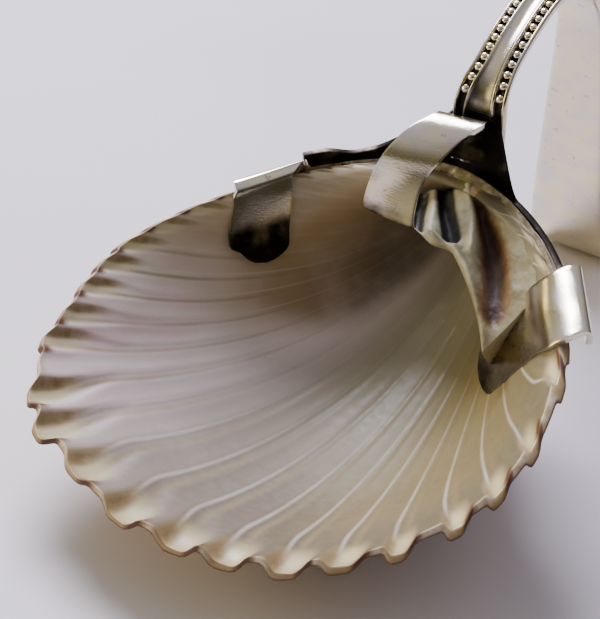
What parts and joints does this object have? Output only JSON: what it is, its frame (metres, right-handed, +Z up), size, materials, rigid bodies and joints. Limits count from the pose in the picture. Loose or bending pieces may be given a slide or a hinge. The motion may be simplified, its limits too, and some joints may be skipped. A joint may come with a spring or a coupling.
{
  "type": "caddy spoon",
  "caption": "Caddy spoon with a natural ribbed shell for a bowl, held by three silver claws on an arched bead-edged silver handle.",
  "frame": {"origin": "middle of the bounding box in plan, on the table", "axes": "+Z up, +Y from the front of the bowl towards the end of the handle, +X to the right seen from the front"},
  "size_m": [0.0458, 0.0974, 0.0428],
  "materials": {
    "shell": "natural nacre-like gloss inside, ribbed and dull outside",
    "silver": "polished silver, lightly worn"
  },
  "bodies": {
    "root": {"shell_bowl": "shell", "handle": "silver", "centre_claw": "silver"}
  },
  "joints": []
}
